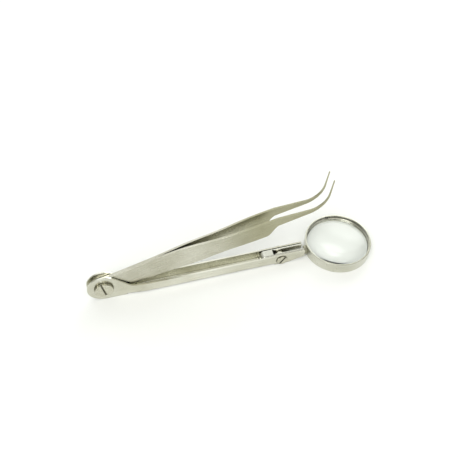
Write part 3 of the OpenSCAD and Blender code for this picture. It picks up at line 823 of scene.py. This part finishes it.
# ---- Stem saddle ----
# A small cap pressed from plated sheet steel, open underneath, that stiffens the arm's end.
# It sits between the channel's walls. Its inner end is rounded over, and a slot with a
# cross cut in its top lets the stem tilt.
saddle_low, saddle_high = [np.array(corner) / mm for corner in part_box("stem_saddle")]
saddle_t, saddle_round, corner_r = 0.6, 2.2, 0.75
saddle_out = saddle_high[1]
slot_from, slot_half = arm_end - 14.8, 1.1
cross_half, cross_w = 1.5, 0.9
saddle_cut_round = 0.08
round_centre = np.array([saddle_low[0] + saddle_round, channel_h - saddle_round])
end_z = np.linspace(saddle_low[2], round_centre[1], 5)
top_x = np.concatenate([np.linspace(round_centre[0], slot_from - cross_w / 2, 5),
                        np.linspace(slot_from + cross_w / 2, arm_end, 10)])
round_path = arc(round_centre, saddle_round, 180, 90, 10)
path = np.concatenate([np.stack([end_z * 0 + saddle_low[0], end_z], 1)[:-1], round_path,
                       np.stack([top_x, top_x * 0 + channel_h], 1)[1:]])
inward = np.concatenate([np.tile([1.0, 0.0], (4, 1)), (round_centre - round_path) / saddle_round,
                         np.tile([0.0, -1.0], (len(top_x) - 1, 1))])
slot_start = len(path) - 10


def pressed_band(rows, first=0, last=None):
    """The cap's skin between two places on its path, up its end and along its top. Each
    row is a distance from the middle plane and a depth in from the path."""
    line, depth_way = path[first:last, None], inward[first:last, None]
    place = line + depth_way * rows[None, :, 1:]
    across = np.broadcast_to(rows[None, :, 0], place.shape[:2])
    return np.stack([place[..., 0], across, place[..., 1]], -1)


corner_turn = np.radians(np.linspace(0, 90, 6))
flat_y = saddle_out - corner_r
depths = np.linspace(corner_r, saddle_round, 4)[1:]
side_rows = np.concatenate([
    np.stack([flat_y + corner_r * np.sin(corner_turn), corner_r * (1 - np.cos(corner_turn))], 1),
    np.stack([depths * 0 + saddle_out, depths], 1)])
side_foot = np.maximum(cheek_edge(top_x), saddle_low[2])[:, None]
lower_z = round_centre[1] + (side_foot - round_centre[1]) * np.linspace(0, 1, 5)
lower_side = np.stack([np.repeat(top_x[:, None], 5, 1), lower_z * 0 + saddle_out, lower_z], -1)
half_saddle = [
    (pressed_band(np.array([(0, 0), (slot_half, 0)]), last=slot_start), (-1, 0, 1)),
    (pressed_band(np.array([(slot_half, 0), (cross_half, 0)]), last=slot_start), (-1, 0, 1)),
    (pressed_band(np.array([(slot_half, 0), (cross_half, 0)]), first=slot_start), (0, 0, 1)),
    (pressed_band(np.array([(cross_half, 0), (flat_y, 0)])), (-1, 0, 1)),
    (pressed_band(side_rows), (0, 1, 0)), (lower_side, (0, 1, 0))]
saddle_nickel = metal("saddle_nickel", (0.74, 0.74, 0.69), (0.66, 0.66, 0.60), 0.18, 0.30,
                      along=200, across=1400, depth=0.003, cloud=0.1)
saddle_grids, saddle_faces = [], []
for side in (1, -1):
    for grid, (x, y, z) in half_saddle:
        saddle_grids.append(mirrored(grid, side))
        saddle_faces.append((x, y * side, z))
saddle = skin("stem_saddle_cap", saddle_grids, saddle_nickel, towards=saddle_faces)
sheet_metal(saddle, saddle_t)
drill_reach = 4.0
drill_path = np.array([(-drill_reach, 0), (-drill_reach, tilt_bore / 2),
                       (drill_reach, tilt_bore / 2), (drill_reach, 0)])
drill = skin("drill", [turned_profile(drill_path, tilt, "Y", 64)], saddle_nickel)
tool_applied(saddle, "DIFFERENCE", drill)
round_edges(saddle, saddle_cut_round)
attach(saddle, "arm")
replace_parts(saddle, "stem_saddle")

# ---- Tilt screw, washers and nut ----
# The same pattern as the pivot screw, smaller. It goes through the cheeks, the saddle's
# sides and the stem's eye, with a bronze washer on each side of the eye.
tilt_d, tilt_head_d, tilt_head_h = 2.0, 2 * (tilt[2] - 0.05), 0.6
tilt_pitch, tilt_slot_turn = 0.4, 35
tilt_nut_af, tilt_nut_h = 4.0, 1.2
saddle_in = saddle_out - saddle_t
tilt_washer_d, tilt_washer_t = 3.8, 0.5
tilt_screw = slotted_screw(
    "tilt_screw_turned", tilt, tilt_d, tilt_head_d, tilt_head_h, -wall_out,
    2 * wall_out + tilt_nut_h + screw_out, tilt_slot_turn, wall_out, tilt_pitch, screw_nickel)
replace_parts(tilt_screw, "tilt_screw")
for name, y0 in (("front_tilt_washer", -saddle_in),
                 ("rear_tilt_washer", saddle_in - tilt_washer_t)):
    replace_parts(washer(name + "_ring", tilt, tilt_washer_d, tilt_bore, y0, y0 + tilt_washer_t,
                       bronze), name)
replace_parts(hexagon_nut("tilt_nut_hex", tilt, tilt_nut_af, tilt_d + thread_play, wall_out,
                        tilt_nut_h, screw_nickel), "tilt_nut")

# ---- Stem and lug ----
# A drawn wire stem brazed to a turned eye on the tilt screw. Its other end is soldered into
# a small block that is itself soldered to the lens ring.
ring_low, ring_high = [np.array(corner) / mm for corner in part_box("lens_ring")]
ring_r = (ring_high[1] - ring_low[1]) / 2
ring_centre = np.array([ring_high[0] - ring_r, 0, 0])
lug_low, lug_high = [np.array(corner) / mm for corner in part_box("ring_lug")]
stem_d, eye_d = 1.8, 4.4
eye_round, rod_round = 0.12, 0.15
stem_in_eye, stem_short = 1.5, 0.06
eye_half = saddle_in - tilt_washer_t - play
stem_from, stem_to = tilt[0] + stem_in_eye, ring_centre[0] - ring_r - stem_short
solder_gap, lug_corner = 0.03, 0.35
wire_metal = metal("wire_metal", (0.80, 0.79, 0.72), (0.66, 0.65, 0.56), 0.16, 0.3, along=120,
                   across=2600)
# Dull solder, made darker and more olive than solder is as painted shade on the lug block.
solder_and_shade = metal("solder_and_shade", (0.46, 0.45, 0.36), (0.34, 0.33, 0.25), 0.3, 0.5,
                     along=700, across=700, depth=0.01, cloud=0.15, wear=0.5)
eye_loop = softened([(-eye_half, tilt_bore / 2), (eye_half, tilt_bore / 2),
                     (eye_half, eye_d / 2), (-eye_half, eye_d / 2)], eye_round, closed=True)
stem = skin("lens_stem_wire", [turned_profile(eye_loop, tilt, "Y")], wire_metal)
rod_loop = softened([(stem_from, 0), (stem_from, stem_d / 2), (stem_to, stem_d / 2), (stem_to, 0)],
                    rod_round)
rod_x, rod_r = rod_loop[None, :, 0], rod_loop[None, :, 1]
rod_angle = np.linspace(0, 2 * math.pi, 49)[:, None]
wire_rod = np.stack(np.broadcast_arrays(rod_x, rod_r * np.cos(rod_angle),
                                        rod_r * np.sin(rod_angle) + tilt[2]), -1)
tool_applied(stem, "UNION", skin("rod", [wire_rod], wire_metal))
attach(stem, "lens_mount")
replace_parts(stem, "lens_stem")


def block_loop(half_w, half_h, corner):
    """Points around a rectangle with round corners, in y and z, from angle 0: a square's
    points at even angles, moved in by the corner's radius and out again by that radius
    along a direction that turns quickly at the corners."""
    angle = np.linspace(0, 2 * math.pi, 65)
    square = np.stack([np.cos(angle), np.sin(angle)], 1)
    square = square / np.abs(square).max(1, keepdims=True)
    core = square * [half_w - corner, half_h - corner]
    out = square ** 5
    return core + out / np.linalg.norm(out, axis=1, keepdims=True) * corner


half_w, half_h = (lug_high[1] - lug_low[1]) / 2, (lug_high[2] - lug_low[2]) / 2
lug_mid = (lug_high[2] + lug_low[2]) / 2
bore_ring = block_loop(1, 1, 0.999)
bore_ring = (bore_ring / np.linalg.norm(bore_ring, axis=1, keepdims=True)
             * (stem_d / 2 + solder_gap))
lug_rings = []
# Each loop's shrink from the block's size, or None for the stem's bore, and its share of the
# way to the ring.
for shrink, share in ((None, 0), (0.25, 0), (0.07, 0.04), (0, 0.12), (0, 1), (None, 1), (None, 0)):
    flat = bore_ring
    if shrink is not None:
        flat = block_loop(half_w - shrink, half_h - shrink, lug_corner)
    seat = ring_centre[0] - np.sqrt((ring_r + play) ** 2 - flat[:, 0] ** 2)
    x = lug_low[0] + (seat - lug_low[0]) * share
    lug_rings.append(np.stack([x, flat[:, 0], flat[:, 1] + lug_mid], 1))
lug = skin("ring_lug_block", [np.stack(lug_rings, 1)], solder_and_shade)
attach(lug, "lens_mount")
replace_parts(lug, "ring_lug")

# ---- Lens ring and retaining wire ----
# A short tube turned from plated brass, with a ledge inside that the lens rests on and a
# groove above it for a springy wire ring that holds the lens down.
ring_h, ring_wall, ledge_in, ledge_t = 5.5, 0.8, 0.8, 0.6
rim_t, seat_gap, lens_guard, ring_round = 1.1, 0.03, 0.2, 0.12
bore_r = ring_r - ring_wall
lens_r = bore_r - seat_gap
rim_top, rim_low = (ring_h + rim_t) / 2, (ring_h - rim_t) / 2
bulge = rim_low - lens_guard
face_r = (lens_r ** 2 + bulge ** 2) / (2 * bulge)


def lens_rise(r):
    """How far a lens face stands above its own rim at distance r from the axis."""
    return np.sqrt(face_r ** 2 - r ** 2) - math.sqrt(face_r ** 2 - lens_r ** 2)


ledge_r = bore_r - ledge_in
ledge_top = rim_low - lens_rise(ledge_r) - play
wire_d, wire_gap, wire_inset = 0.7, math.radians(9), 0.05
groove_play, groove_depth = 0.06, 0.33
wire_r = bore_r - wire_inset
wire_z = rim_top + lens_rise(wire_r - wire_d / 2) + wire_d / 2
groove_half = wire_d / 2 + groove_play
groove_r = bore_r + groove_depth
ring_profile = softened(
    [(0, bore_r), (0, ring_r), (ring_h, ring_r), (ring_h, bore_r), (wire_z + groove_half, bore_r),
     (wire_z + groove_half, groove_r), (wire_z - groove_half, groove_r),
     (wire_z - groove_half, bore_r), (ledge_top, bore_r), (ledge_top, ledge_r),
     (ledge_top - ledge_t, ledge_r), (ledge_top - ledge_t, bore_r)], ring_round, closed=True)
ring_nickel = metal("ring_nickel", (0.72, 0.72, 0.65), (0.64, 0.64, 0.56), 0.16, 0.26,
                    along=1500, across=1500, depth=0.002, wear=0.1, grime=0.2)
lens_ring = skin("lens_ring_tube", [turned_profile(ring_profile, ring_centre, "Z", 192)],
                 ring_nickel)
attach(lens_ring, "lens_mount")
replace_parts(lens_ring, "lens_ring")
round_wire = arc((0, 0), wire_d / 2, 0, 360, 16)
retaining = skin("retaining_wire", split_ring(ring_centre + [0, 0, wire_z], wire_r, round_wire,
                                              wire_gap, math.pi / 2, "Z"), ring_nickel)
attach(retaining, "lens_mount")
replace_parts(retaining, "retaining_ring")

# ---- Lens ----
# A biconvex magnifying lens of clear crown glass, with a narrow ground rim. It rests on the
# ring's ledge, and the wire ring holds it down.
ground_in, ground = 0.08, 0.06
face_edge = lens_r - ground_in
from_axis = np.linspace(0, face_edge, 28)
lens_profile = np.concatenate([
    np.stack([rim_top + lens_rise(from_axis), from_axis], 1),
    [(rim_top - ground, lens_r), (rim_low + ground, lens_r)],
    np.stack([rim_low - lens_rise(from_axis), from_axis], 1)[::-1]])
crown_glass, tree, shader = surface_material("crown_glass", 0.0)
shader.inputs["Transmission Weight"].default_value = 1
shader.inputs["IOR"].default_value = 1.52
on_lens = node(tree, "ShaderNodeTexCoord").outputs["Object"]
breath = node(tree, "ShaderNodeTexNoise", {"Vector": on_lens, "Scale": 180, "Detail": 5})
haze = node(tree, "ShaderNodeMapRange", {"Value": breath.outputs["Fac"], "From Min": 0.45,
                                         "From Max": 0.75, "To Max": 0.06})
tint = node(tree, "ShaderNodeMix", {"Factor": breath.outputs["Fac"], "A": (0.985, 1.0, 0.99, 1),
                                    "B": (0.96, 0.985, 0.97, 1)}, data_type="RGBA")
feed(tree, shader.inputs["Roughness"], haze.outputs["Result"])
feed(tree, shader.inputs["Base Color"], tint.outputs["Result"])
# The lens lets the studio light straight through to the table and the ring.
clear = node(tree, "ShaderNodeBsdfTransparent", {"Color": (0.97, 0.975, 0.965, 1)})
rays = node(tree, "ShaderNodeLightPath")
shadowless = node(tree, "ShaderNodeMixShader",
                  {"Fac": rays.outputs["Is Shadow Ray"], 1: shader.outputs["BSDF"],
                   2: clear.outputs["BSDF"]})
lit = node(tree, "ShaderNodeMixShader",
           {"Fac": rays.outputs["Is Diffuse Ray"], 1: shadowless.outputs["Shader"],
            2: clear.outputs["BSDF"]})
feed(tree, tree.nodes["Material Output"].inputs["Surface"], lit.outputs["Shader"])
lens = skin("lens_glass", [turned_profile(lens_profile, ring_centre, "Z", 128)], crown_glass,
            smooth_angle=40)
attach(lens, "lens_mount")
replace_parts(lens, "lens")
